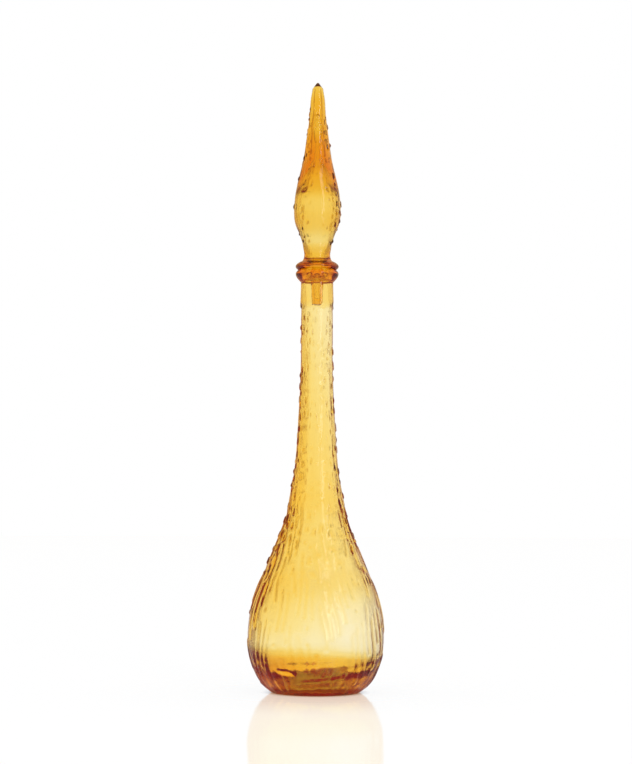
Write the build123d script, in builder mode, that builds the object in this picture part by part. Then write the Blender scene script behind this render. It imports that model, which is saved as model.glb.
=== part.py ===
"""Genie bottle: a tall mould-blown amber glass decanter with a long spired glass stopper.

The bottle is a drop-shaped bulb that draws in to a long neck. It stands on a narrow ring round a
pushed-up base, and a ring of glass is wound round its mouth. The stopper is a hollow blown spire
on a wound collar, over a tapered peg that hangs loose in the mouth. The hollow runs on down into
the peg, whose end is closed. The collar rests flat on the lip ring, so the stopper lifts straight
out.

Sizes are in millimetres. The bottle's axis is Z, and it stands on the XY plane.
"""

from build123d import *
import os

# Outside of the bottle
bottle_height = 388.0
belly_radius = 63.5
belly_height = 50.0
foot_radius = 40.0
foot_width = 4.5
kick_height = 12.0
neck_radius = 14.8

# Walls of the bottle
belly_wall = 1.6
shoulder_wall = 4.9
neck_wall = 2.8
kick_thickness = 5.0
heel_thickness = 6.5
floor_radius = 34.0

# Mouth, and the lip ring wound round it
mouth_radius = 10.6
mouth_length = 6.0
mouth_flare_length = 4.6
mouth_rounding = 0.8
lip_ring_height = 11.6
lip_ring_radius = 19.7
lip_ring_bulge_height = 7.8
lip_land_radius = 17.2

# Stopper
peg_length = 31.0
peg_clearance = 4.2
peg_taper = 1.5
peg_bore_radius = 3.2
peg_end_thickness = 4.0
peg_end_rounding = 0.9
peg_head_radius = 9.2
head_bore_radius = 7.0
head_bore_depth = 3.8
head_funnel_length = 5.4
collar_thickness = 7.2
collar_radius = 19.8
collar_bulge_height = 2.8
collar_land_radius = 17.9
collar_top_radius = 15.4
spire_height = 164.8
spire_radius = 22.5
spire_foot_radius = 14.6
tip_length = 5.8
tip_radius = 4.9
tip_rounding = 0.6
hollow_height = 135.0
hollow_radius = 17.4

# Heel, outside: share of the height from foot to belly, share of the way out from foot to belly
heel_shares = [(0.075, 0.245), (0.22, 0.536), (0.42, 0.753), (0.68, 0.932)]
# Heel, inside: share of the height from floor to belly, share of the way out from floor to belly
inner_heel_shares = [
    (0.140, 0.308),
    (0.278, 0.477),
    (0.393, 0.634),
    (0.529, 0.756),
    (0.644, 0.867),
    (0.782, 0.964),
]
# Shoulder and neck: share of the height from belly to lip ring, share of the way in from belly
# to neck, share of the change to the shoulder's wall, share of the change to the neck's wall
shoulder_shares = [
    (0.083, 0.058, 0.15, 0.0),
    (0.172, 0.257, 0.80, 0.0),
    (0.264, 0.509, 1.0, 0.0),
    (0.353, 0.717, 1.0, 0.0),
    (0.401, 0.779, 1.0, 0.12),
    (0.460, 0.854, 1.0, 0.25),
    (0.551, 0.908, 1.0, 0.38),
    (0.767, 0.979, 1.0, 0.7),
    (0.930, 0.987, 1.0, 0.95),
]
# Spire, outside: share of its height, share of its largest radius
spire_shares = [
    (0.036, 0.531),
    (0.095, 0.631),
    (0.150, 0.769),
    (0.207, 0.938),
    (0.300, 1.0),
    (0.372, 0.958),
    (0.484, 0.782),
    (0.593, 0.606),
    (0.680, 0.518),
    (0.763, 0.429),
    (0.897, 0.302),
]
# Hollow of the spire: share of its height, share of its largest radius
hollow_shares = [
    (0.058, 0.397),
    (0.095, 0.503),
    (0.139, 0.638),
    (0.221, 0.822),
    (0.302, 0.966),
    (0.384, 1.0),
    (0.465, 0.891),
    (0.517, 0.700),
    (0.584, 0.511),
    (0.628, 0.356),
    (0.680, 0.190),
    (0.739, 0.110),
    (0.813, 0.100),
    (0.902, 0.172),
    (0.961, 0.121),
]

# Directions that the outlines leave and meet their ends in
UP, DOWN, IN, OUT = (0, 1), (0, -1), (-1, 0), (1, 0)
HEEL_RISE = (2, 1)
KICK_FALL = (1, -1)
BEAD_RISE = (1, 1)
BEAD_CLOSE = (-1, 1)
COLLAR_CLOSE = (-2, 1)
SPIRE_FOOT_RISE = (-3, 2)
TIP_RISE = (-1, 8)
# Their pace at both ends, against an even pace along the chords between their points
END_PACE = (1, 1)

# Heights and radii that follow from the sizes above
foot_inner_radius = foot_radius - foot_width
peg_radius = mouth_radius - peg_clearance
peg_end_radius = peg_radius - peg_taper
peg_bore_end_radius = peg_bore_radius - peg_taper
peg_base = bottle_height - peg_length
peg_bore_base = peg_base + peg_end_thickness
lip_ring_base = bottle_height - lip_ring_height
neck_rise = lip_ring_base - belly_height
neck_bore = neck_radius - neck_wall
mouth_base = bottle_height - mouth_length
mouth_flare_base = mouth_base - mouth_flare_length
kick_top = kick_height + kick_thickness
spire_base = bottle_height + collar_thickness
head_funnel_top = spire_base - head_bore_depth
head_funnel_base = head_funnel_top - head_funnel_length
spire_top = spire_base + spire_height
tip_base = spire_top - tip_length
lip_ring_bulge = (lip_ring_radius, lip_ring_base + lip_ring_bulge_height)
collar_bulge = (collar_radius, bottle_height + collar_bulge_height)


def heel_point(rise, way_out):
    """A point of the heel's outside."""
    return (foot_radius + way_out * (belly_radius - foot_radius), rise * belly_height)


def inner_heel_point(rise, way_out):
    """A point of the heel's inside."""
    reach = belly_radius - belly_wall - floor_radius
    height = belly_height - heel_thickness
    return (floor_radius + way_out * reach, heel_thickness + rise * height)


def shoulder_point(rise, way_in):
    """A point of the outside from the belly up to the lip ring."""
    return (belly_radius - way_in * (belly_radius - neck_radius), belly_height + rise * neck_rise)


def inner_shoulder_point(rise, way_in, to_shoulder, to_neck):
    """The same point on the inside, one wall further in."""
    radius, height = shoulder_point(rise, way_in)
    to_belly = belly_wall + to_shoulder * (shoulder_wall - belly_wall)
    return (radius - to_belly - to_neck * (neck_wall - shoulder_wall), height)


def spire_point(rise, swell):
    """A point of the spire's outside."""
    return (swell * spire_radius, spire_base + rise * spire_height)


def hollow_point(rise, swell):
    """A point of the hollow inside the spire."""
    return (swell * hollow_radius, spire_base + rise * hollow_height)


# Bulb and neck, blown in one: up the outside, over the mouth and down the inside
with BuildPart() as bottle:
    with BuildSketch(Plane.XZ):
        with BuildLine():
            Line((foot_inner_radius, 0), (foot_radius, 0))
            Spline(
                (foot_radius, 0),
                *[heel_point(*share) for share in heel_shares],
                (belly_radius, belly_height),
                tangents=[HEEL_RISE, UP], tangent_scalars=END_PACE,
            )
            Spline(
                (belly_radius, belly_height),
                *[shoulder_point(rise, way_in) for rise, way_in, _, _ in shoulder_shares],
                (neck_radius, lip_ring_base),
                tangents=[UP, UP], tangent_scalars=END_PACE,
            )
            Polyline(
                (neck_radius, lip_ring_base),
                (neck_radius, bottle_height),
                (mouth_radius + mouth_rounding, bottle_height),
            )
            RadiusArc(
                (mouth_radius + mouth_rounding, bottle_height),
                (mouth_radius, bottle_height - mouth_rounding),
                -mouth_rounding,
            )
            Line((mouth_radius, bottle_height - mouth_rounding), (mouth_radius, mouth_base))
            Spline(
                (mouth_radius, mouth_base),
                (neck_bore, mouth_flare_base),
                tangents=[DOWN, DOWN], tangent_scalars=END_PACE,
            )
            Spline(
                (neck_bore, mouth_flare_base),
                *[inner_shoulder_point(*share) for share in reversed(shoulder_shares)],
                (belly_radius - belly_wall, belly_height),
                tangents=[DOWN, DOWN], tangent_scalars=END_PACE,
            )
            Spline(
                (belly_radius - belly_wall, belly_height),
                *[inner_heel_point(*share) for share in reversed(inner_heel_shares)],
                (floor_radius, heel_thickness),
                tangents=[DOWN, IN], tangent_scalars=END_PACE,
            )
            Spline(
                (floor_radius, heel_thickness), (0, kick_top),
                tangents=[IN, IN], tangent_scalars=END_PACE,
            )
            Line((0, kick_top), (0, kick_height))
            Spline(
                (0, kick_height), (foot_inner_radius, 0),
                tangents=[OUT, KICK_FALL], tangent_scalars=END_PACE,
            )
        make_face()
    revolve(axis=Axis.Z)
bottle.part.label = "bottle"

# Ring of glass wound round the top of the neck, flat on top
with BuildPart() as lip_ring:
    with BuildSketch(Plane.XZ):
        with BuildLine():
            Spline(
                (neck_radius, lip_ring_base), lip_ring_bulge,
                tangents=[BEAD_RISE, UP], tangent_scalars=END_PACE,
            )
            Spline(
                lip_ring_bulge, (lip_land_radius, bottle_height),
                tangents=[UP, BEAD_CLOSE], tangent_scalars=END_PACE,
            )
            Polyline(
                (lip_land_radius, bottle_height),
                (neck_radius, bottle_height),
                (neck_radius, lip_ring_base),
            )
        make_face()
    revolve(axis=Axis.Z)
lip_ring.part.label = "lip_ring"

# Peg of the stopper: tapered below the collar, closed at its end and bored out to a funnel in its head
with BuildPart() as stopper_peg:
    with BuildSketch(Plane.XZ):
        with BuildLine():
            Polyline(
                (0, peg_base),
                (peg_end_radius, peg_base),
                (peg_radius, bottle_height),
                (peg_head_radius, bottle_height),
                (peg_head_radius, spire_base),
                (head_bore_radius, spire_base),
                (head_bore_radius, head_funnel_top),
            )
            Spline(
                (head_bore_radius, head_funnel_top),
                (peg_bore_radius, head_funnel_base),
                tangents=[DOWN, DOWN], tangent_scalars=END_PACE,
            )
            Polyline(
                (peg_bore_radius, head_funnel_base),
                (peg_bore_end_radius, peg_bore_base),
                (0, peg_bore_base),
                (0, peg_base),
            )
        make_face()
    revolve(axis=Axis.Z)
    peg_end = stopper_peg.faces().sort_by(Axis.Z)[0]
    fillet(peg_end.edges(), radius=peg_end_rounding)
stopper_peg.part.label = "stopper_peg"

# Collar wound round the peg's head, flat underneath where it rests on the lip ring
with BuildPart() as stopper_collar:
    with BuildSketch(Plane.XZ):
        with BuildLine():
            Line((peg_head_radius, bottle_height), (collar_land_radius, bottle_height))
            Spline(
                (collar_land_radius, bottle_height), collar_bulge,
                tangents=[BEAD_RISE, UP], tangent_scalars=END_PACE,
            )
            Spline(
                collar_bulge, (collar_top_radius, spire_base),
                tangents=[UP, COLLAR_CLOSE], tangent_scalars=END_PACE,
            )
            Polyline(
                (collar_top_radius, spire_base),
                (peg_head_radius, spire_base),
                (peg_head_radius, bottle_height),
            )
        make_face()
    revolve(axis=Axis.Z)
stopper_collar.part.label = "stopper_collar"

# Hollow spire on the collar: waist, bulge and long point outside, blown hollow inside
with BuildPart() as stopper_spire:
    with BuildSketch(Plane.XZ):
        with BuildLine():
            Line((head_bore_radius, spire_base), (spire_foot_radius, spire_base))
            Spline(
                (spire_foot_radius, spire_base),
                *[spire_point(*share) for share in spire_shares],
                (tip_radius, tip_base),
                tangents=[SPIRE_FOOT_RISE, TIP_RISE], tangent_scalars=END_PACE,
            )
            Line((tip_radius, tip_base), (tip_rounding, spire_top))
            Line((tip_rounding, spire_top), (0, spire_top))
            Line((0, spire_top), (0, spire_base + hollow_height))
            Spline(
                (0, spire_base + hollow_height),
                *[hollow_point(*share) for share in reversed(hollow_shares)],
                (head_bore_radius, spire_base),
                tangents=[OUT, DOWN], tangent_scalars=END_PACE,
            )
        make_face()
    revolve(axis=Axis.Z)
stopper_spire.part.label = "stopper_spire"

os.makedirs("parts", exist_ok=True)
for piece in (bottle, lip_ring, stopper_peg, stopper_collar, stopper_spire):
    export_step(piece.part, f"parts/{piece.part.label}.step")
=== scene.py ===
"""Genie bottle: a tall amber decanter with a bark-like relief and a hollow spired stopper.

Lengths are in metres. The bottle's axis is Z, as in the frame, and it stands on the plane z = 0.
"""

import math

import bpy
import numpy as np
from mathutils import Matrix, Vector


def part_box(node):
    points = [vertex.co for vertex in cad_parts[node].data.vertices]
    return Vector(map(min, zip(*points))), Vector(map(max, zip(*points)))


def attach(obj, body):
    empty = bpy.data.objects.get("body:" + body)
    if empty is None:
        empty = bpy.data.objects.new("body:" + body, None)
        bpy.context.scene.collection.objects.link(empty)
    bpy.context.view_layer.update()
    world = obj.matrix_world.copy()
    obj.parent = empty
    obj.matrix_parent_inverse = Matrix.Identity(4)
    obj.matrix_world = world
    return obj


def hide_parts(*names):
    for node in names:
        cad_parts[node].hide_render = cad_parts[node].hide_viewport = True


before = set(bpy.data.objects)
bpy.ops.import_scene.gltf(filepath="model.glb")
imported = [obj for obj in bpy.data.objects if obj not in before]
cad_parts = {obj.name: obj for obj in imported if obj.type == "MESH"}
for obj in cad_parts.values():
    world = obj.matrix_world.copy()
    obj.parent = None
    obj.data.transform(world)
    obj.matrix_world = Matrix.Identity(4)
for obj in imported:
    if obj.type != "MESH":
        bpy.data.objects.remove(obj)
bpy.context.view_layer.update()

# Sizes that the frame gives
bottle_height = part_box("bottle")[1].z
belly_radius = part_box("bottle")[1].x
lip_ring_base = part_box("lip_ring")[0].z
lip_ring_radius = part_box("lip_ring")[1].x
peg_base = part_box("stopper_peg")[0].z
collar_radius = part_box("stopper_collar")[1].x
spire_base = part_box("stopper_spire")[0].z
spire_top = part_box("stopper_spire")[1].z

# Bottle
belly_height = 0.050
foot_radius = 0.040
foot_width = 0.0045
kick_height = 0.012
neck_radius = 0.0148
belly_wall = 0.0016
shoulder_wall = 0.0049
neck_wall = 0.0028
kick_thickness = 0.005
heel_thickness = 0.0065
floor_radius = 0.034
mouth_radius = 0.0106
mouth_length = 0.0060
mouth_flare_length = 0.0046
mouth_rounding = 0.0008
lip_ring_bulge_height = 0.0078
lip_land_radius = 0.0172

# Stopper
peg_radius = 0.0064
peg_taper = 0.0015
peg_bore_radius = 0.0032
peg_end_thickness = 0.0040
peg_end_rounding = 0.0009
head_bore_radius = 0.0070
head_bore_depth = 0.0038
head_funnel_length = 0.0054
collar_bulge_height = 0.0028
collar_land_radius = 0.0179
collar_top_radius = 0.0154
spire_radius = 0.0225
spire_foot_radius = 0.0146
tip_length = 0.0058
tip_radius = 0.0049
tip_rounding = 0.0006
hollow_height = 0.135
hollow_radius = 0.0174
# Gap between the seated collar and the lip ring, so that light meets two surfaces there
seat_gap = 0.0001

# Stations of the outlines, as in the solids where nothing else is said.
# Heel, outside: share of the height from foot to belly, share of the way out from foot to belly
heel_shares = [(0.075, 0.245), (0.22, 0.536), (0.42, 0.753), (0.68, 0.932)]
# Heel, inside: share of the height from floor to belly, share of the way out from floor to belly. It
# stands further out than in the solids, which leaves less glass high on the heel
inner_heel_shares = [
    (0.140, 0.308),
    (0.278, 0.490),
    (0.393, 0.660),
    (0.529, 0.800),
    (0.644, 0.900),
    (0.782, 0.970),
]
# Shoulder and neck: share of the height from belly to lip ring, share of the way in from belly
# to neck, share of the change to the shoulder's wall, share of the change to the neck's wall
shoulder_shares = [
    (0.083, 0.058, 0.15, 0.0),
    (0.172, 0.257, 0.80, 0.0),
    (0.264, 0.509, 1.0, 0.0),
    (0.353, 0.717, 1.0, 0.0),
    (0.401, 0.779, 1.0, 0.12),
    (0.460, 0.854, 1.0, 0.25),
    (0.551, 0.908, 1.0, 0.38),
    (0.767, 0.979, 1.0, 0.7),
    (0.930, 0.987, 1.0, 0.95),
]
# Spire, outside: share of its height, share of its largest radius
spire_shares = [
    (0.036, 0.531),
    (0.095, 0.631),
    (0.150, 0.769),
    (0.207, 0.938),
    (0.300, 1.0),
    (0.372, 0.958),
    (0.484, 0.782),
    (0.593, 0.606),
    (0.680, 0.518),
    (0.763, 0.429),
    (0.897, 0.302),
]
# Hollow of the spire: share of its height, share of its largest radius
hollow_shares = [
    (0.058, 0.397),
    (0.095, 0.503),
    (0.139, 0.638),
    (0.221, 0.822),
    (0.302, 0.966),
    (0.384, 1.0),
    (0.465, 0.891),
    (0.517, 0.700),
    (0.584, 0.511),
    (0.628, 0.356),
    (0.680, 0.190),
    (0.739, 0.110),
    (0.813, 0.100),
    (0.902, 0.172),
    (0.961, 0.121),
]

# Directions that the outlines leave and meet their ends in
UP, DOWN, IN, OUT = (0, 1), (0, -1), (-1, 0), (1, 0)
HEEL_RISE = (2, 1)
KICK_FALL = (1, -1)
BEAD_RISE = (1, 1)
BEAD_CLOSE = (-1, 1)
COLLAR_CLOSE = (-2, 1)
SPIRE_FOOT_RISE = (-3, 2)
TIP_RISE = (-1, 8)

# Points in a ring, and the height above which the bottle's outside has as few as its neck
bulb_columns = 320
neck_columns = 160
stopper_columns = 192
bulb_top = 0.190

# How far apart the rings are
bark_row = 0.00135
bead_row = 0.0009
cavity_row = 0.0048
heel_row = 0.0011
plain_row = 0.003
peg_end_row = 0.0012
peg_row = 0.0015
seat_row = 0.002
collar_row = 0.0006
spire_row = 0.0010
hollow_row = 0.0018

# Points on a rounded corner and on the closed end of the peg's bore, and the size up to which a ring is
# taken as a pole
rounding_points = 4
bore_end_points = 6
pole_size = 1e-9

# Bark of the bottle: from this height to that, depth, ridges round the glass and their share of the
# depth, drops round the glass, the share of places that have one and the length of a place, and seed. The
# first band starts one blend below the table, so that it is whole from the foot up
bark_blend = 0.012
bark_bands = [
    (-bark_blend, 0.108, 0.0010, 52, 1.00, 60, 0.10, 0.010, 12),
    (0.108, 0.170, 0.0018, 36, 0.62, 26, 0.60, 0.013, 38),
    (0.170, 0.370, 0.0012, 26, 0.12, 24, 0.50, 0.011, 33),
]
bark_foot = (0.001, 0.007)
bark_end = (0.359, 0.352)
# Share of the bark's height that is missing on the front and the back
bark_calm = 0.40

# Bark of the spire: the same from the depth on, and where it fades in and out
spire_bark = (0.0012, 20, 0.12, 20, 0.36, 0.009, 57)
spire_bark_foot = (0.405, 0.413)
spire_bark_end = (0.548, 0.530)

# Ridges and drops: width as a share of a lane, share that the lower end's knob adds, and flatness on top
ridge_length = 0.070
ridges_filled = 0.95
ridge_shape = (0.80, 0.1, 3)
drop_shape = (0.70, 0.20, 2.6)

# How their lanes wander, each a sine: share of a lane, waves round the glass and length along it
slow_wander = (0.42, 2, 0.031)
quick_wander = (0.26, -5, 0.0125)

# Cells of a lane before they repeat, the number of the first, and the ranges of what is drawn for each
lane_cells = 64
first_cell = 7
vein_heights = (0.5, 1.0)
vein_widths = (0.7, 1.15)
vein_shifts = (-0.16, 0.16)
vein_starts = (0.02, 0.3)
vein_ends = (0.65, 0.97)

# Slope at a vein's lower end and spread of its knob, each a share of a cell and a length, and how many
# times longer the slope at its upper end is
slope_share, slope_length = 0.02, 0.0015
knob_share, knob_length = 0.05, 0.003
upper_slope = 1.5

# Cavity off the axis: how far along X in the bulb and neck and in the heel, and where each fades
cavity_shift = 0.0007
heel_shift = 0.0012
cavity_shift_foot = (0.050, 0.105)
cavity_shift_end = (0.372, 0.340)
heel_shift_top = (0.046, 0.030)

# More glass towards -X: depth, height of its middle and spread
thick_side = (0.0018, 0.066, 0.032)

# Ripples of the cavity: depth, where they fade in and out, and sines, each with its share, waves round
# the glass, length along it and offset. An endless length runs straight down
ripple_depth = 0.00012
ripple_foot = (0.012, 0.030)
ripple_end = (0.360, 0.300)
ripple_waves = [(1, 5, 0.09, 0), (0.7, 9, -0.06, 1), (0.5, 14, math.inf, 2)]

# Ledge of glass that ran down inside and set over the heel: its middle direction, the height of its edge
# there, half its length round the glass, slope down its length, radius of the heel there, depth and
# spread, and the depth and number of the edge's waves
ledge_direction = math.radians(-122)
ledge_height = 0.0225
ledge_reach = math.radians(9)
ledge_slope = -0.45
ledge_radius = 0.035
ledge_depth = 0.0024
ledge_spread = 0.0015
ledge_wave_depth = 0.0012
ledge_wave_count = 9

# Mottle of the floor: depth, where it fades out, and two sines: waves round the glass, length and offset
mottle_depth = 0.0003
mottle_end = (0.034, 0.026)
mottle_across = (13, 0.0031, 0)
mottle_back = (9, -0.0043, 2)

# Hollow round the heel: depth, height of its middle and spread, and the sines that make it uneven
heel_hollow = (0.0004, 0.0200, 0.0045)
hollow_waves = [(0.6, 3, math.inf, 0.8), (0.4, 8, math.inf, 2.1)]

# Length over which the cavity's relief fades out before the middle of the floor
calm_middle = 0.012

# Glass: what it takes off each metre of red, green and blue
bottle_absorption = (3.0, 57.5, 298.0)
stopper_absorption = (9.0, 59.0, 285.0)
absorption_density = 310.0
glass_ior = 1.5

# Fine ripples on its skin: grains to the metre, how they stretch along Z, detail, and strength and height
skin_scale = 900
skin_stretch = (1, 1, 0.12)
skin_detail = 3
skin_strength = 0.25
skin_height = 0.0004

white = (1, 1, 1, 1)

# Flags round the room: how many, and colours from the middle of a flag to the white between two
flag_count = 8
flag_stops = [
    (0.00, (0.58, 0.42, 0.28, 1)),
    (0.03, (0.66, 0.52, 0.38, 1)),
    (0.08, (0.93, 0.89, 0.84, 1)),
    (0.14, white),
]

# Grey ceiling: the Z of the directions where it begins and is full, and its brightness
ceiling_edge = (0.45, 0.8)
ceiling_grey = 0.7

# Brown side of the room that the glass mirrors, direction of the window in it, how nearly a ray must
# point there for the window to begin and be full, and its share of white
near_side_brown = (0.80, 0.52, 0.24, 1)
window_direction = (0.92, 0.38, 0)
window_edge = (0.35, 0.8)
window_white = 0.35

# What a ray sees that the glass turned back inside, and its share after one turn, at once or further in
corner_brown = (0.36, 0.12, 0.02, 1)
turned_at_once = 0.42
trapped_once = 0.03
# How deep such a ray is after a turn at once and further in, and the thresholds for one turn and for two
turn_depths = (3, 4)
any_turn = 0.5
two_turns = 1.5

# Painted shade: a dark brown glow that a ray which turned back inside the glass sees on the table in
# place of how it is lit, and the share of it in what the glass mirrors of the table
table_painted_shade = (0.26, 0.08, 0.01, 1)
mirrored_painted_shade_share = 0.6

# Table: half its side, and how far under the foot it is
table_reach = 6.0
table_drop = 0.0002
# Distances from the axis between which paint, which shows the shadow, turns into a glow, and its share
shadow_edge = (0.036, 0.052)
table_glow = 0.85
# Share of red, green and blue that it mirrors, round the foot and further out, and where that changes.
# Round the foot it mirrors more and scatters less, so the heel's dark reflection lays a painted shade
# in front of the foot: a real reflection, made stronger there to paint that shade
foot_gloss_and_painted_shade = (0.24, 0.36, 0.46)
table_gloss = (0.03, 0.12, 0.24)
painted_shade_gloss_edge = (0.050, 0.220)
table_roughness = 0.08

# Upright softbox: direction from the bottle, distance, width and height, and power
softbox_azimuth = math.radians(-61)
softbox_distance = 1.5
softbox_size = (0.25, 1.6)
softbox_power = 3.8

# Camera: level, as far from the bottle as the photograph's perspective asks, and shifted up to frame it
camera_distance = 1.986
camera_side = -0.0003
camera_height = 0.190
camera_roll = math.radians(0.225)
camera_lens = 101.83
camera_sensor = 36
camera_shift = 0.1352

# How many walls of glass light may pass, and how many times it may be mirrored on the way
glass_bounces = 32
mirror_bounces = 12


# Profiles

def curve(points, start, end, row):
    """A clamped cubic spline through points of (radius, height), with the chord length as its parameter t.

    Its slopes m solve m[i-1]/h[i-1] + 2 m[i] (1/h[i-1] + 1/h[i]) + m[i+1]/h[i]
    = 3 (s[i-1]/h[i-1] + s[i]/h[i]), where h is the step in t and s the slope of a chord. The first and last
    are the unit start and end directions. Returns points about one row apart, without the last.
    """
    points = np.array(points, float)
    step = np.linalg.norm(np.diff(points, axis=0), axis=1)
    t = np.concatenate([[0], np.cumsum(step)])
    chord = np.diff(points, axis=0) / step[:, None]
    n = len(points)
    matrix = np.eye(n)
    right = np.zeros((n, 2))
    right[0] = np.array(start) / np.linalg.norm(start)
    right[-1] = np.array(end) / np.linalg.norm(end)
    for i in range(1, n - 1):
        matrix[i, i - 1:i + 2] = 1 / step[i - 1], 2 / step[i - 1] + 2 / step[i], 1 / step[i]
        right[i] = 3 * (chord[i - 1] / step[i - 1] + chord[i] / step[i])
    slope = np.linalg.solve(matrix, right)
    count = max(2, round(t[-1] / row))
    at = np.linspace(0, t[-1], count, endpoint=False)
    i = np.clip(np.searchsorted(t, at, side="right") - 1, 0, n - 2)
    u = ((at - t[i]) / step[i])[:, None]
    h = step[i][:, None]
    return (
        (1 + 2 * u) * (1 - u) ** 2 * points[i]
        + u * (1 - u) ** 2 * h * slope[i]
        + u ** 2 * (3 - 2 * u) * points[i + 1]
        - u ** 2 * (1 - u) * h * slope[i + 1]
    )


def line(start, end, row):
    """Points about one row apart on a straight line, without its end."""
    count = max(1, round(math.dist(start, end) / row))
    return np.linspace(start, end, count, endpoint=False)


def arc(start, corner, end, count=rounding_points):
    """A rounded corner as the quadratic (1-u)^2 start + 2u(1-u) corner + u^2 end, without its end."""
    u = np.linspace(0, 1, count, endpoint=False)[:, None]
    start, corner, end = np.array(start), np.array(corner), np.array(end)
    return (1 - u) ** 2 * start + 2 * u * (1 - u) * corner + u ** 2 * end


def shoulder_point(rise, way_in):
    """A point of the outside from the belly up to the lip ring."""
    neck_rise = lip_ring_base - belly_height
    return (belly_radius - way_in * (belly_radius - neck_radius), belly_height + rise * neck_rise)


def inner_shoulder_point(rise, way_in, to_shoulder, to_neck):
    """The same point on the inside, one wall further in."""
    radius, height = shoulder_point(rise, way_in)
    wall = belly_wall + to_shoulder * (shoulder_wall - belly_wall) + to_neck * (neck_wall - shoulder_wall)
    return (radius - wall, height)


def base_profile():
    """Under the bottle, from the middle of the kick out to the edge of the foot."""
    foot_inner = foot_radius - foot_width
    return np.concatenate([
        curve([(0, kick_height), (foot_inner, 0)], OUT, KICK_FALL, plain_row),
        line((foot_inner, 0), (foot_radius, 0), plain_row),
    ])


def side_profile():
    """Outside of the bottle, from the edge of the foot up to the lip ring."""
    heel = [
        (foot_radius + way_out * (belly_radius - foot_radius), rise * belly_height)
        for rise, way_out in heel_shares
    ]
    shoulder = [shoulder_point(rise, way_in) for rise, way_in, _, _ in shoulder_shares]
    belly = (belly_radius, belly_height)
    return np.concatenate([
        curve([(foot_radius, 0), *heel, belly], HEEL_RISE, UP, bark_row),
        curve([belly, *shoulder, (neck_radius, lip_ring_base)], UP, UP, bark_row),
    ])


def mouth_profile():
    """Over the lip ring and down into the mouth, as far as its flare."""
    bulge = (lip_ring_radius, lip_ring_base + lip_ring_bulge_height)
    land = (lip_land_radius, bottle_height)
    corner = (mouth_radius, bottle_height)
    corner_start = (mouth_radius + mouth_rounding, bottle_height)
    corner_end = (mouth_radius, bottle_height - mouth_rounding)
    flare_top = (mouth_radius, bottle_height - mouth_length)
    flare_base = (neck_radius - neck_wall, bottle_height - mouth_length - mouth_flare_length)
    return np.concatenate([
        curve([(neck_radius, lip_ring_base), bulge], BEAD_RISE, UP, bead_row),
        curve([bulge, land], UP, BEAD_CLOSE, bead_row),
        line(land, corner_start, plain_row),
        arc(corner_start, corner, corner_end),
        line(corner_end, flare_top, plain_row),
        curve([flare_top, flare_base], DOWN, DOWN, bead_row),
    ])


def cavity_profile():
    """Inside of the bottle, from the mouth's flare down to the middle of the floor."""
    flare_base = (neck_radius - neck_wall, bottle_height - mouth_length - mouth_flare_length)
    belly = (belly_radius - belly_wall, belly_height)
    floor_edge = (floor_radius, heel_thickness)
    floor_middle = (0, kick_height + kick_thickness)
    shoulder = [inner_shoulder_point(*share) for share in reversed(shoulder_shares)]
    reach, climb = belly[0] - floor_radius, belly_height - heel_thickness
    heel = [
        (floor_radius + way_out * reach, heel_thickness + rise * climb)
        for rise, way_out in reversed(inner_heel_shares)
    ]
    return np.concatenate([
        curve([flare_base, *shoulder, belly], DOWN, DOWN, cavity_row),
        curve([belly, *heel, floor_edge], DOWN, IN, heel_row),
        curve([floor_edge, floor_middle], IN, IN, plain_row),
        [floor_middle],
    ])


def collar_profile():
    """The stopper's outside, from the middle of the peg's end up and over the collar."""
    peg_end_radius = peg_radius - peg_taper
    seat = bottle_height + seat_gap
    corner = (peg_end_radius, peg_base)
    corner_start = (peg_end_radius - peg_end_rounding, peg_base)
    corner_end = (peg_end_radius, peg_base + peg_end_rounding)
    bulge = (collar_radius, bottle_height + collar_bulge_height)
    top = (collar_top_radius, spire_base)
    return np.concatenate([
        line((0, peg_base), corner_start, peg_end_row),
        arc(corner_start, corner, corner_end),
        line(corner_end, (peg_radius, seat), peg_row),
        line((peg_radius, seat), (collar_land_radius, seat), seat_row),
        curve([(collar_land_radius, seat), bulge], BEAD_RISE, UP, collar_row),
        curve([bulge, top], UP, COLLAR_CLOSE, collar_row),
        line(top, (spire_foot_radius, spire_base), collar_row),
    ])


def spire_profile():
    """The stopper's outside, from the collar up to the point."""
    tip = (tip_radius, spire_top - tip_length)
    length = spire_top - spire_base
    spire = [(swell * spire_radius, spire_base + rise * length) for rise, swell in spire_shares]
    return np.concatenate([
        curve([(spire_foot_radius, spire_base), *spire, tip], SPIRE_FOOT_RISE, TIP_RISE, spire_row),
        line(tip, (tip_rounding, spire_top), spire_row),
        [(0, spire_top)],
    ])


def hollow_profile():
    """The hollow in the stopper, from its top down to the peg's closed end, so that its skin faces in."""
    hollow = [
        (swell * hollow_radius, spire_base + rise * hollow_height)
        for rise, swell in reversed(hollow_shares)
    ]
    bore_top = (head_bore_radius, spire_base)
    funnel_top = (head_bore_radius, spire_base - head_bore_depth)
    funnel_base = (peg_bore_radius, spire_base - head_bore_depth - head_funnel_length)
    end_radius = peg_bore_radius - peg_taper
    end_height = peg_base + peg_end_thickness
    end_start = (end_radius, end_height + end_radius)
    return np.concatenate([
        curve([(0, spire_base + hollow_height), *hollow, bore_top], OUT, DOWN, hollow_row),
        line(bore_top, funnel_top, hollow_row),
        curve([funnel_top, funnel_base], DOWN, DOWN, bead_row),
        line(funnel_base, end_start, hollow_row),
        arc(end_start, (end_radius, end_height), (0, end_height), bore_end_points),
        [(0, end_height)],
    ])


# Relief

def fade(x, low, high):
    """A smooth step, 3x^2 - 2x^3, from 0 at low to 1 at high, which may be the lower of the two."""
    x = np.clip((x - low) / (high - low), 0, 1)
    return x * x * (3 - 2 * x)


def bell(x, middle, spread):
    """A bell, exp(-u^2), where u is the distance from the middle over the spread."""
    return np.exp(-((x - middle) / spread) ** 2)


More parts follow.
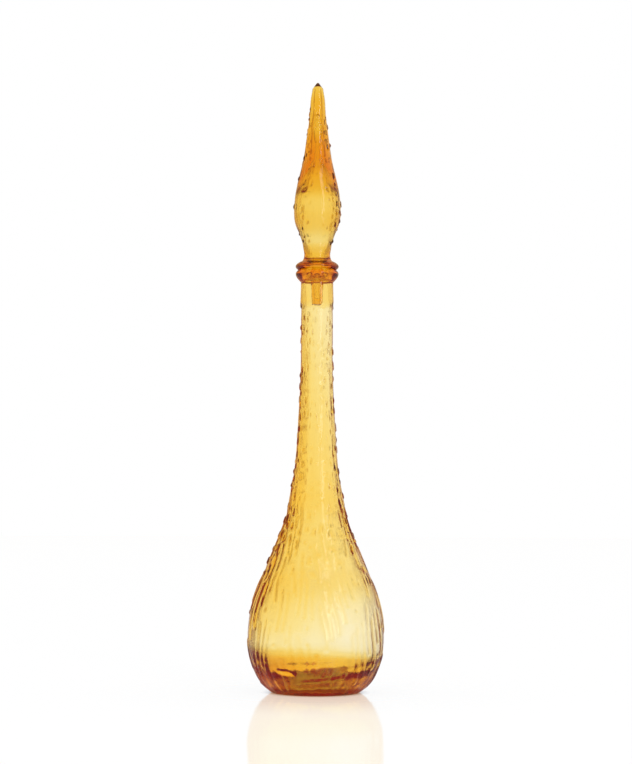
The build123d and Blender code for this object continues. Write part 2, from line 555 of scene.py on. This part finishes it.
def wave(angle, along, turns, length, offset):
    """The sine of turns times the angle, plus the way along the profile over a length, plus an offset."""
    return np.sin(turns * angle + along / length + offset)


def waves(angle, along, table, level=0):
    """A level plus a sum of sines, each times its share."""
    return sum((share * wave(angle, along, *shape) for share, *shape in table), level)


def veins(angle, along, lanes, seed, filled, stroke, width, knob, flatness):
    """The height, 0 to 1, of raised veins that run along the glass.

    The circle is cut into lanes that wander together by a sum of sines, and each lane into cells one
    stroke long, shifted by a random share. A cell holds one vein, with a random height, width, sideways
    shift and ends. Across, it is (1 - |u|^flatness)^2. Along, it is a smooth step up and down, and a knob
    thickens its lower end.
    """
    rng = np.random.default_rng(seed)
    wander = waves(angle, along, [(*slow_wander, 0), (*quick_wander, seed)])
    x = angle / (2 * math.pi) * lanes + wander
    lane = np.floor(x).astype(int)
    across = x - lane - 0.5
    lane = lane % lanes
    shift = rng.uniform(0, 1, lanes)
    y = along / stroke + first_cell + shift[lane]
    cell = np.floor(y).astype(int) % lane_cells
    place = y - np.floor(y)
    cells = (lanes, lane_cells)
    height = rng.uniform(*vein_heights, cells) * (rng.uniform(0, 1, cells) < filled)
    broad = width * rng.uniform(*vein_widths, cells)
    aside = rng.uniform(*vein_shifts, cells)
    start = rng.uniform(*vein_starts, cells)
    end = rng.uniform(*vein_ends, cells)
    slope = slope_share + slope_length / stroke
    low, high = start[lane, cell], end[lane, cell]
    swell = 1 + knob * bell(place - low, slope, knob_share + knob_length / stroke)
    u = np.clip((across - aside[lane, cell]) / (0.5 * broad[lane, cell] * swell), -1, 1)
    along_it = fade(place, low, low + slope) * fade(place, high, high - upper_slope * slope)
    return np.clip(height[lane, cell] * swell, 0, 1) * (1 - np.abs(u) ** flatness) ** 2 * along_it


def bark(angle, along, depth, ridges, ridge_share, drops, drop_share, drop_length, seed):
    """The bark below its envelope: 0 where a drop is at its highest, minus the depth between the ridges.

    The bark stands out less on the front and the back: its height is times 1 - bark_calm sin^2 angle.
    """
    ridge = veins(angle, along, ridges, seed, ridges_filled, ridge_length, *ridge_shape)
    drop = veins(angle, along, drops, seed + 1, drop_share, drop_length, *drop_shape)
    return depth * ((1 - bark_calm * np.sin(angle) ** 2) * np.maximum(ridge_share * ridge, drop) - 1)


def bottle_relief(angle, along, height):
    """The bands of bark, each blended into the next, and faded out at the foot and below the lip."""
    total = 0
    for low, high, *pattern in bark_bands:
        blend_in = fade(height, low - bark_blend, low + bark_blend)
        blend_out = fade(height, high + bark_blend, high - bark_blend)
        total = total + blend_in * blend_out * bark(angle, along, *pattern)
    return total * fade(height, *bark_foot) * fade(height, *bark_end)


def spire_relief(angle, along, height):
    """Bark on the spire from just above its waist to below its point."""
    return fade(height, *spire_bark_foot) * fade(height, *spire_bark_end) * bark(angle, along, *spire_bark)


def heel_ledge(angle, height):
    """The ledge of glass: a bell across its edge, times 1 - u^4, where u is the share of its half length.

    The edge slopes down in a straight line, with a sine on it.
    """
    aside = (angle - ledge_direction + math.pi) % (2 * math.pi) - math.pi
    u = np.clip(aside / ledge_reach, -1, 1)
    edge = (
        ledge_height
        + ledge_radius * ledge_slope * aside
        + ledge_wave_depth * np.sin(ledge_wave_count * aside)
    )
    return ledge_depth * (1 - u ** 4) * bell(height, edge, ledge_spread)


def cavity_relief(angle, along, height):
    """How much more glass the inside has than its profile says.

    The ripples are a sum of sines. Over the heel there is a ledge. A product of two sines mottles the
    floor. A hollow round the heel takes glass away, as a bell over the height times an uneven level. The
    thick side is its depth times (1 - cos angle) / 2 times a bell over the height. All of it fades out
    towards the middle of the floor, where the profile ends on the axis.
    """
    ripples = fade(height, *ripple_end) * fade(height, *ripple_foot) * ripple_depth
    ripples = ripples * waves(angle, along, ripple_waves)
    mottle = mottle_depth * (wave(angle, along, *mottle_across) * wave(angle, along, *mottle_back))
    mottle = mottle * fade(height, *mottle_end)
    depth, middle, spread = heel_hollow
    hollow = depth * waves(angle, along, hollow_waves, 1) * bell(height, middle, spread)
    over_heel = heel_ledge(angle, height) + mottle - hollow
    depth, middle, spread = thick_side
    thick = depth * (1 - np.cos(angle)) / 2 * bell(height, middle, spread)
    return (ripples + over_heel + thick) * fade(along[-1] - along, 0, calm_middle)


# Meshes

def turned(profile, columns, relief=None, shift=(0, 0)):
    """Rings of points: the profile turned about Z, moved along its normal by relief(angle, along, height).

    The normal is to the right of the profile's direction. A first or last point on the axis becomes one
    ring of equal points, which seam() closes as a pole. shift moves the rings of the neck and bulb and
    those of the heel sideways along X.
    """
    angle = np.linspace(0, 2 * math.pi, columns, endpoint=False)[None, :]
    step = np.linalg.norm(np.diff(profile, axis=0), axis=1)
    along = np.concatenate([[0], np.cumsum(step)])[:, None]
    slope = np.gradient(profile, axis=0)
    slope /= np.linalg.norm(slope, axis=1)[:, None]
    height = profile[:, 1:]
    raised = 0 if relief is None else relief(angle, along, height)
    radius = profile[:, :1] + slope[:, 1:] * raised
    above = fade(height, *cavity_shift_foot) * fade(height, *cavity_shift_end)
    sideways = shift[0] * above + shift[1] * fade(height, *heel_shift_top)
    return np.stack([
        radius * np.cos(angle) + sideways,
        radius * np.sin(angle),
        height - slope[:, :1] * raised + 0 * angle,
    ], axis=2)


def seam(lower, upper):
    """Faces between two rings of point numbers: quads, or triangles where one ring has half as many points.

    With twice as many points below, the triangles over points 2k and 2k+1 are (2k, 2k+1, k),
    (2k+1, 2k+2, k+1) and (2k+1, k+1, k). A ring of one point is a pole.
    """
    lower_next, upper_next = np.roll(lower, -1), np.roll(upper, -1)
    if len(upper) == 1:
        return np.stack([lower, lower_next, 0 * lower + upper[0]], axis=1).tolist()
    if len(lower) == 1:
        return np.stack([0 * upper + lower[0], upper_next, upper], axis=1).tolist()
    if len(lower) == len(upper):
        return np.stack([lower, lower_next, upper_next, upper], axis=1).tolist()
    if len(lower) > len(upper):
        even, odd, after = lower[::2], lower[1::2], np.roll(lower[::2], -1)
        tris = [(even, odd, upper), (odd, after, upper_next), (odd, upper_next, upper)]
    else:
        even, odd, after = upper[::2], upper[1::2], np.roll(upper[::2], -1)
        tris = [(lower, odd, even), (lower_next, after, odd), (lower, lower_next, odd)]
    return np.concatenate([np.stack(tri, axis=1) for tri in tris]).tolist()


def glass_piece(name, skins):
    """One mesh of several closed skins, each a list of bands of rings, shaded smooth.

    Every band but the last stops one ring short, so that seam() joins its last ring to the next band's.
    """
    points, faces, count = [], [], 0
    for bands in skins:
        numbers = []
        for ring in (ring for band in bands for ring in band):
            is_pole = np.ptp(ring[:, 0]) + np.ptp(ring[:, 1]) < pole_size
            points.append(ring[:1] if is_pole else ring)
            numbers.append(count + np.arange(len(points[-1])))
            count += len(points[-1])
        for lower, upper in zip(numbers, numbers[1:]):
            faces += seam(lower, upper)
    mesh = bpy.data.meshes.new(name)
    mesh.from_pydata(np.concatenate(points).tolist(), [], faces)
    mesh.polygons.foreach_set("use_smooth", [True] * len(mesh.polygons))
    mesh.update()
    piece = bpy.data.objects.new(name, mesh)
    bpy.context.scene.collection.objects.link(piece)
    return piece


def make_bottle():
    """The bottle and its lip ring, fused hot, so that light sees them as one piece of glass."""
    side = side_profile()
    neck_start = int(np.argmax(side[:, 1] > bulb_top))
    side_rings = turned(side, bulb_columns, bottle_relief)
    return glass_piece("bottle_glass", [[
        turned(base_profile(), neck_columns),
        side_rings[:neck_start],
        side_rings[neck_start:, ::2],
        turned(mouth_profile(), neck_columns),
        turned(cavity_profile(), neck_columns, cavity_relief, (cavity_shift, heel_shift)),
    ]])


def make_stopper():
    """The stopper, fused hot as well. One skin is its outside, and the other the hollow in it."""
    return glass_piece("stopper_glass", [
        [turned(collar_profile(), stopper_columns), turned(spire_profile(), stopper_columns, spire_relief)],
        [turned(hollow_profile(), stopper_columns)],
    ])


# Materials

def connect(tree, node, inputs):
    """Sets each input of a node, by its name or number, to a value or to another node's output."""
    for key, value in inputs.items():
        if isinstance(value, bpy.types.NodeSocket):
            tree.links.new(value, node.inputs[key])
        else:
            node.inputs[key].default_value = value


def add_node(tree, kind, inputs=()):
    """A new node with its inputs set."""
    node = tree.nodes.new(kind)
    connect(tree, node, dict(inputs))
    return node


def maths(tree, operation, *values, kind="ShaderNodeMath"):
    """The number that a Math or Vector Math node makes of its values."""
    node = tree.nodes.new(kind)
    node.operation = operation
    connect(tree, node, dict(enumerate(values)))
    return node.outputs["Value"]


def mapped(tree, value, span, low=0, high=1, ease="SMOOTHSTEP"):
    """The number that goes from low to high while a value goes over a span."""
    node = tree.nodes.new("ShaderNodeMapRange")
    node.interpolation_type = ease
    connect(tree, node, {
        "Value": value, "From Min": span[0], "From Max": span[1], "To Min": low, "To Max": high,
    })
    return node.outputs["Result"]


def mixed(tree, share, first, second):
    """One shader or another, by the share of the second."""
    return add_node(tree, "ShaderNodeMixShader", {"Fac": share, 1: first, 2: second}).outputs["Shader"]


def emission(tree, colour):
    """A glow of a colour at a strength of 1."""
    return add_node(tree, "ShaderNodeEmission", {"Color": colour}).outputs["Emission"]


def background(tree, colour, strength=1):
    """A colour of the room, at a strength."""
    node = add_node(tree, "ShaderNodeBackground", {"Color": colour, "Strength": strength})
    return node.outputs["Background"]


def empty_tree(owner):
    """The node tree of a material or world, with nothing in it."""
    owner.use_nodes = True
    owner.node_tree.nodes.clear()
    return owner.node_tree


def amber_glass(name, absorption):
    """Clear amber glass: it takes light off by depth, and fine ripples run along it."""
    material = bpy.data.materials.new(name)
    tree = empty_tree(material)
    place = add_node(tree, "ShaderNodeTexCoord")
    stretch = add_node(tree, "ShaderNodeMapping", {
        "Vector": place.outputs["Object"], "Scale": skin_stretch,
    })
    ripple = add_node(tree, "ShaderNodeTexNoise", {
        "Vector": stretch.outputs["Vector"], "Scale": skin_scale, "Detail": skin_detail,
    })
    bump = add_node(tree, "ShaderNodeBump", {
        "Height": ripple.outputs["Fac"], "Strength": skin_strength, "Distance": skin_height,
    })
    surface = add_node(tree, "ShaderNodeBsdfPrincipled", {
        "Base Color": white, "Roughness": 0, "Transmission Weight": 1, "IOR": glass_ior,
        "Normal": bump.outputs["Normal"],
    })
    colour = [1 - taken / absorption_density for taken in absorption]
    depth = add_node(tree, "ShaderNodeVolumeAbsorption", {
        "Color": (*colour, 1), "Density": absorption_density,
    })
    add_node(tree, "ShaderNodeOutputMaterial", {
        "Surface": surface.outputs["BSDF"], "Volume": depth.outputs["Volume"],
    })
    return material


# Studio

def glass_rays(tree):
    """What tells rays that the glass mirrors from those that leave it after turning back inside.

    Returns the light path's outputs and two numbers. The first is 1 for a ray that the glass mirrors. The
    second is the share of dark in what a ray sees that turned back inside, the dark corners of the room in
    the world and painted shade on the table: turned_at_once if the first wall turned it back, trapped_once
    if it turned back once further in, and 1 from the second time on.
    """
    ray = add_node(tree, "ShaderNodeLightPath").outputs
    mirrored = maths(tree, "MULTIPLY", ray["Is Reflection Ray"], ray["Is Singular Ray"])
    once = maths(tree, "GREATER_THAN", ray["Glossy Depth"], any_turn)
    twice = maths(tree, "GREATER_THAN", ray["Glossy Depth"], two_turns)
    share_once = mapped(tree, ray["Ray Depth"], turn_depths, turned_at_once, trapped_once, "LINEAR")
    share = maths(tree, "MAXIMUM", maths(tree, "MULTIPLY", once, share_once), twice)
    trapped = maths(tree, "MULTIPLY", share, ray["Is Transmission Ray"])
    return ray, mirrored, trapped


def glossy_paint(tree, mirror, glow):
    """White paint that mirrors a share of red, green and blue and scatters the rest, or glows with it."""
    matt = (*[1 - part for part in mirror], 1)
    paint = add_node(tree, "ShaderNodeBsdfDiffuse", {"Color": matt}).outputs["BSDF"]
    gloss = add_node(tree, "ShaderNodeBsdfGlossy", {"Color": (*mirror, 1), "Roughness": table_roughness})
    lit = mixed(tree, glow, paint, emission(tree, matt))
    return add_node(tree, "ShaderNodeAddShader", {0: lit, 1: gloss.outputs["BSDF"]}).outputs["Shader"]


def make_table():
    """A white table with a soft gloss, which runs into the white background.

    It takes a real shadow round the foot alone, and there it mirrors more and scatters less, which lays a
    painted shade in front of the foot. Rays that turned back inside the glass see it as a painted brown
    shade that glows, and those that the glass mirrors see a part of that painted shade.
    """
    corners = [(x * table_reach, y * table_reach, 0) for x, y in ((-1, -1), (1, -1), (1, 1), (-1, 1))]
    mesh = bpy.data.meshes.new("table_top")
    mesh.from_pydata(corners, [], [(0, 1, 2, 3)])
    table = bpy.data.objects.new("table_top", mesh)
    bpy.context.scene.collection.objects.link(table)
    table.location.z = -table_drop
    material = bpy.data.materials.new("white_gloss_table_painted_shade")
    tree = empty_tree(material)
    place = add_node(tree, "ShaderNodeTexCoord").outputs["Object"]
    distance = maths(tree, "LENGTH", place, kind="ShaderNodeVectorMath")
    glow = mapped(tree, distance, shadow_edge, 0, table_glow)
    # Painted shade round the foot: the paint there mirrors more and scatters less, so the heel's reflection
    # darkens it
    surface = mixed(
        tree, mapped(tree, distance, painted_shade_gloss_edge),
        glossy_paint(tree, foot_gloss_and_painted_shade, glow), glossy_paint(tree, table_gloss, glow),
    )
    # Painted shade: rays that the glass turned back or mirrored see the table as a dark brown glow, not as
    # it is lit
    _, mirrored, trapped = glass_rays(tree)
    brown = maths(tree, "MAXIMUM", maths(tree, "MULTIPLY", mirrored, mirrored_painted_shade_share), trapped)
    seen = mixed(tree, brown, surface, emission(tree, table_painted_shade))
    add_node(tree, "ShaderNodeOutputMaterial", {"Surface": seen})
    mesh.materials.append(material)


def make_world():
    """White all round for the camera and the table, and a room with flags and a ceiling for the glass.

    The brown flags give the glass its dark lines. There are eight, each halfway between two of the
    directions that a view along X, Y or a diagonal looks in: a ramp of colours reads the cosine of eight
    times the azimuth. What the glass mirrors is the room's brown side, which is paler towards a window.
    """
    world = bpy.data.worlds.new("white_studio")
    bpy.context.scene.world = world
    tree = empty_tree(world)
    direction = add_node(tree, "ShaderNodeTexCoord").outputs["Generated"]
    parts = add_node(tree, "ShaderNodeSeparateXYZ", {"Vector": direction}).outputs
    azimuth = maths(tree, "ARCTAN2", parts["Y"], parts["X"])
    swing = maths(tree, "COSINE", maths(tree, "MULTIPLY", azimuth, flag_count))
    flags = add_node(tree, "ShaderNodeValToRGB", {"Fac": mapped(tree, swing, (-1, 1), ease="LINEAR")})
    ramp = flags.color_ramp
    ramp.elements[0].position, ramp.elements[0].color = flag_stops[0]
    ramp.elements[1].position, ramp.elements[1].color = flag_stops[-1]
    for position, colour in flag_stops[1:-1]:
        ramp.elements.new(position).color = colour
    room = background(tree, flags.outputs["Color"], mapped(tree, parts["Z"], ceiling_edge, 1, ceiling_grey))
    towards = maths(tree, "DOT_PRODUCT", direction, window_direction, kind="ShaderNodeVectorMath")
    near_colour = tree.nodes.new("ShaderNodeMix")
    near_colour.data_type = "RGBA"
    connect(tree, near_colour, {
        "Factor": mapped(tree, towards, window_edge, 0, window_white), 6: near_side_brown, 7: white,
    })
    near_side = background(tree, near_colour.outputs[2])
    ray, mirrored, trapped = glass_rays(tree)
    plain = maths(tree, "MAXIMUM", ray["Is Camera Ray"], ray["Is Diffuse Ray"])
    around = mixed(tree, mirrored, room, near_side)
    from_glass = mixed(tree, trapped, around, background(tree, corner_brown))
    seen = mixed(tree, plain, from_glass, background(tree, white))
    add_node(tree, "ShaderNodeOutputWorld", {"Surface": seen})


def make_softbox():
    """An upright strip on the table that faces the bottle, seen only where the glass mirrors it."""
    lamp = bpy.data.lights.new("window_softbox", "AREA")
    lamp.shape = "RECTANGLE"
    lamp.size, lamp.size_y = softbox_size
    lamp.energy = softbox_power
    softbox = bpy.data.objects.new("window_softbox", lamp)
    bpy.context.scene.collection.objects.link(softbox)
    turn = Matrix.Rotation(softbox_azimuth + math.pi / 2, 4, "Z") @ Matrix.Rotation(math.pi / 2, 4, "X")
    place = (
        softbox_distance * math.cos(softbox_azimuth),
        softbox_distance * math.sin(softbox_azimuth),
        lamp.size_y / 2,
    )
    softbox.matrix_world = Matrix.Translation(place) @ turn
    softbox.visible_camera = False
    softbox.visible_transmission = False


def make_camera():
    """The photograph's camera, which looks along +Y."""
    camera = bpy.data.cameras.new("camera")
    camera.lens = camera_lens
    camera.sensor_width = camera_sensor
    camera.shift_y = camera_shift
    view = bpy.data.objects.new("camera", camera)
    bpy.context.scene.collection.objects.link(view)
    turn = Matrix.Rotation(math.pi / 2, 4, "X") @ Matrix.Rotation(camera_roll, 4, "Z")
    view.matrix_world = Matrix.Translation((camera_side, -camera_distance, camera_height)) @ turn
    bpy.context.scene.camera = view


bottle = make_bottle()
bottle.data.materials.append(amber_glass("amber_bottle_glass", bottle_absorption))
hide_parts("bottle", "lip_ring")
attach(bottle, "bottle")

stopper = make_stopper()
stopper.data.materials.append(amber_glass("amber_stopper_glass", stopper_absorption))
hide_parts("stopper_peg", "stopper_collar", "stopper_spire")
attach(stopper, "stopper")

make_table()
make_world()
make_softbox()
make_camera()

scene = bpy.context.scene
scene.view_settings.view_transform = "Standard"
scene.cycles.max_bounces = glass_bounces
scene.cycles.transmission_bounces = glass_bounces
scene.cycles.glossy_bounces = mirror_bounces
